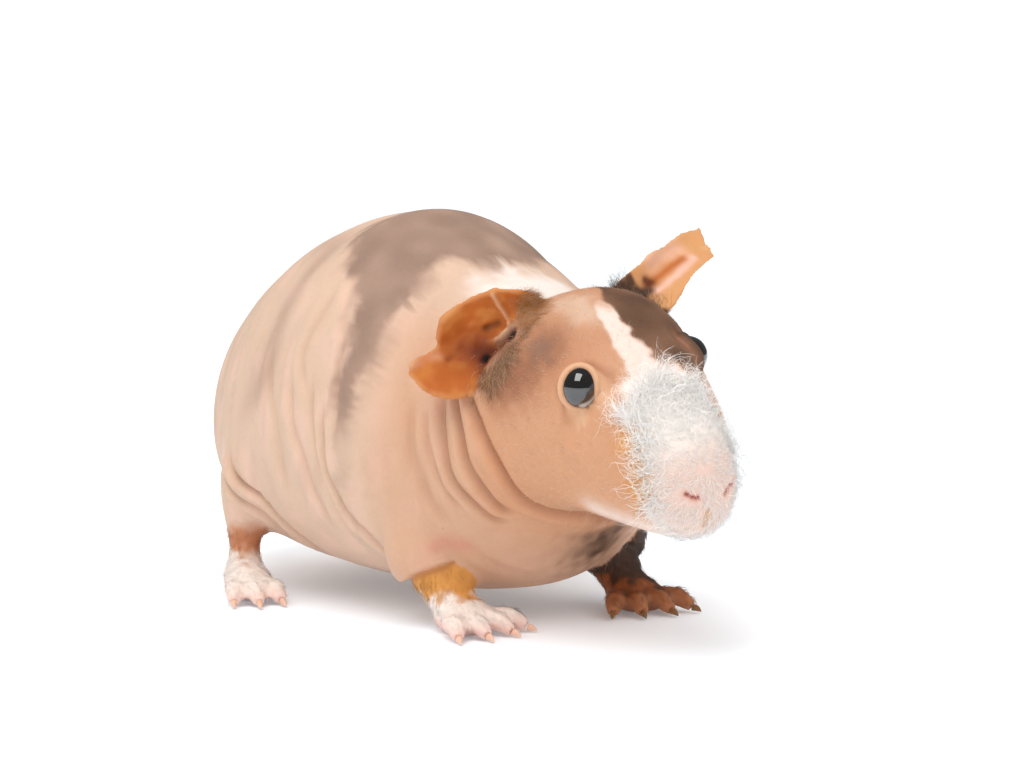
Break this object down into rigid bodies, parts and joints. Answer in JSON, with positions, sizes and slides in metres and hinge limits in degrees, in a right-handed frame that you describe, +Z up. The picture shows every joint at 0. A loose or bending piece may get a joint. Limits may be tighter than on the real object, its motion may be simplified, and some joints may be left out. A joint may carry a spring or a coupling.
{
  "type": "hairless guinea pig",
  "caption": "Hairless guinea pig, also called a skinny pig, standing with its head low and a little turned, life size.",
  "frame": {"origin": "centre of the model's box, on the floor under the trunk", "axes": "+Z up, -Y towards the nose, +X to the animal's left"},
  "size_m": [0.1176, 0.2042, 0.1015],
  "materials": {
    "skin": "soft bare skin",
    "ear_skin": "thin bare skin",
    "claw": "horn",
    "eye": "wet gloss"
  },
  "bodies": {
    "root": {"claw_front_left_1": "claw", "claw_front_left_2": "claw", "claw_front_left_3": "claw", "claw_front_left_4": "claw", "claw_front_right_1": "claw", "claw_front_right_2": "claw", "claw_front_right_3": "claw", "claw_front_right_4": "claw", "claw_hind_left_1": "claw", "claw_hind_left_2": "claw", "claw_hind_left_3": "claw", "claw_hind_right_1": "claw", "claw_hind_right_2": "claw", "claw_hind_right_3": "claw", "ear_left": "ear_skin", "ear_right": "ear_skin", "eye_left": "eye", "eye_right": "eye", "foot_front_left": "skin", "foot_front_right": "skin", "foot_hind_left": "skin", "foot_hind_right": "skin", "head": "skin", "leg_front_left": "skin", "leg_front_right": "skin", "leg_hind_left": "skin", "leg_hind_right": "skin", "neck": "skin", "trunk": "skin"}
  },
  "joints": []
}
